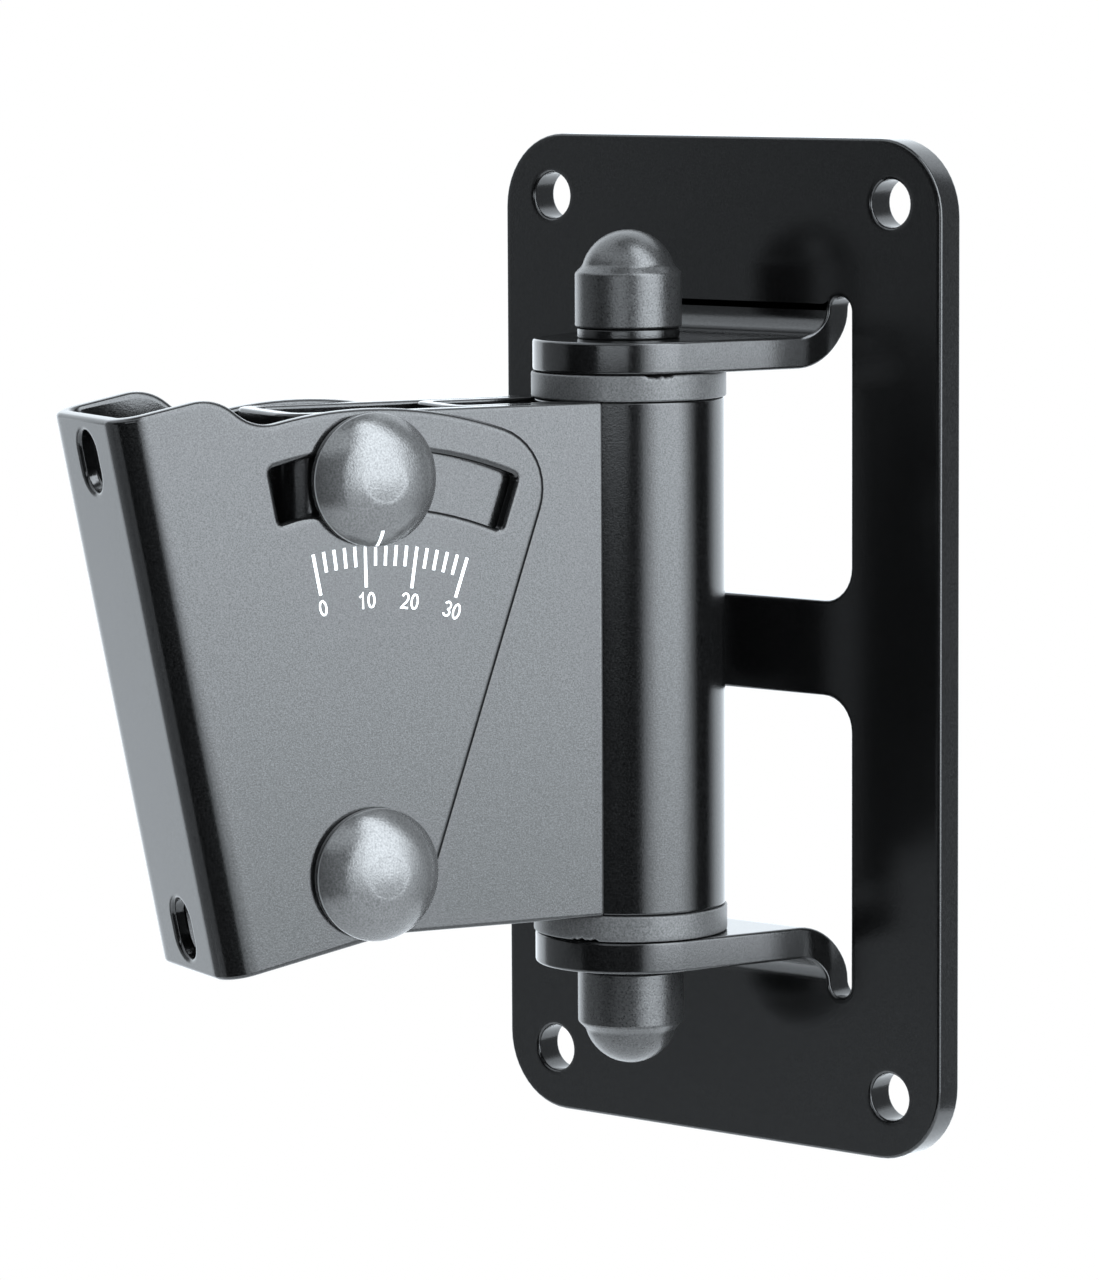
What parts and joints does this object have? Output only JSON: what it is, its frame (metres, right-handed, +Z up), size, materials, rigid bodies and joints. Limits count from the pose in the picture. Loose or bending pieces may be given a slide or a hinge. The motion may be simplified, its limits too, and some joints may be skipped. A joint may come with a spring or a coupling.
{
  "type": "speaker wall bracket",
  "caption": "Wall plate with two bent ears, an arm swinging between them on an upright bolt, and a tilting speaker channel clamped along a degree scale.",
  "frame": {"origin": "centre of the wall plate's flat back face, where it meets the wall", "axes": "+Z up, +Y into the wall, +X to the right seen from the room; the bracket stands out along -Y"},
  "size_m": [0.09, 0.1163, 0.16],
  "materials": {
    "black_coat": "fine-grained satin black coat on folded steel",
    "bush_plastic": "matt moulded plastic, dark grey",
    "cap_plastic": "matt moulded plastic, speckled dark grey",
    "black_bolt": "blackened steel, mottled",
    "nylon": "pale nylon"
  },
  "bodies": {
    "wall_side": {"wall_plate": "black_coat", "pivot_bolt": "black_bolt", "pivot_washer": "black_bolt", "pivot_nut": "black_bolt", "pivot_nut_ring": "nylon", "upper_cap": "cap_plastic", "lower_cap": "cap_plastic"},
    "arm": {"barrel_tube": "black_coat", "arm_shell": "black_coat", "arm_brace": "black_coat", "upper_bush": "bush_plastic", "lower_bush": "bush_plastic", "clamp_bolt": "black_bolt", "clamp_washer": "black_bolt", "clamp_nut": "black_bolt", "clamp_nut_ring": "nylon"},
    "channel": {"speaker_channel": "black_coat", "tilt_bolt": "black_bolt", "tilt_washer": "black_bolt", "tilt_nut": "black_bolt", "tilt_nut_ring": "nylon"}
  },
  "joints": [
    {"name": "arm_swing", "type": "hinge", "parent": "wall_side", "child": "arm", "pos_m": [0, -0.0264, 0], "axis": [0, 0, 1], "range_deg": [-59, 101]},
    {"name": "channel_tilt", "type": "hinge", "parent": "arm", "child": "channel", "pos_m": [-0.01835, -0.0742, -0.03], "axis": [0.9336, -0.3584, 0], "range_deg": [-11.3, 18.7]}
  ]
}
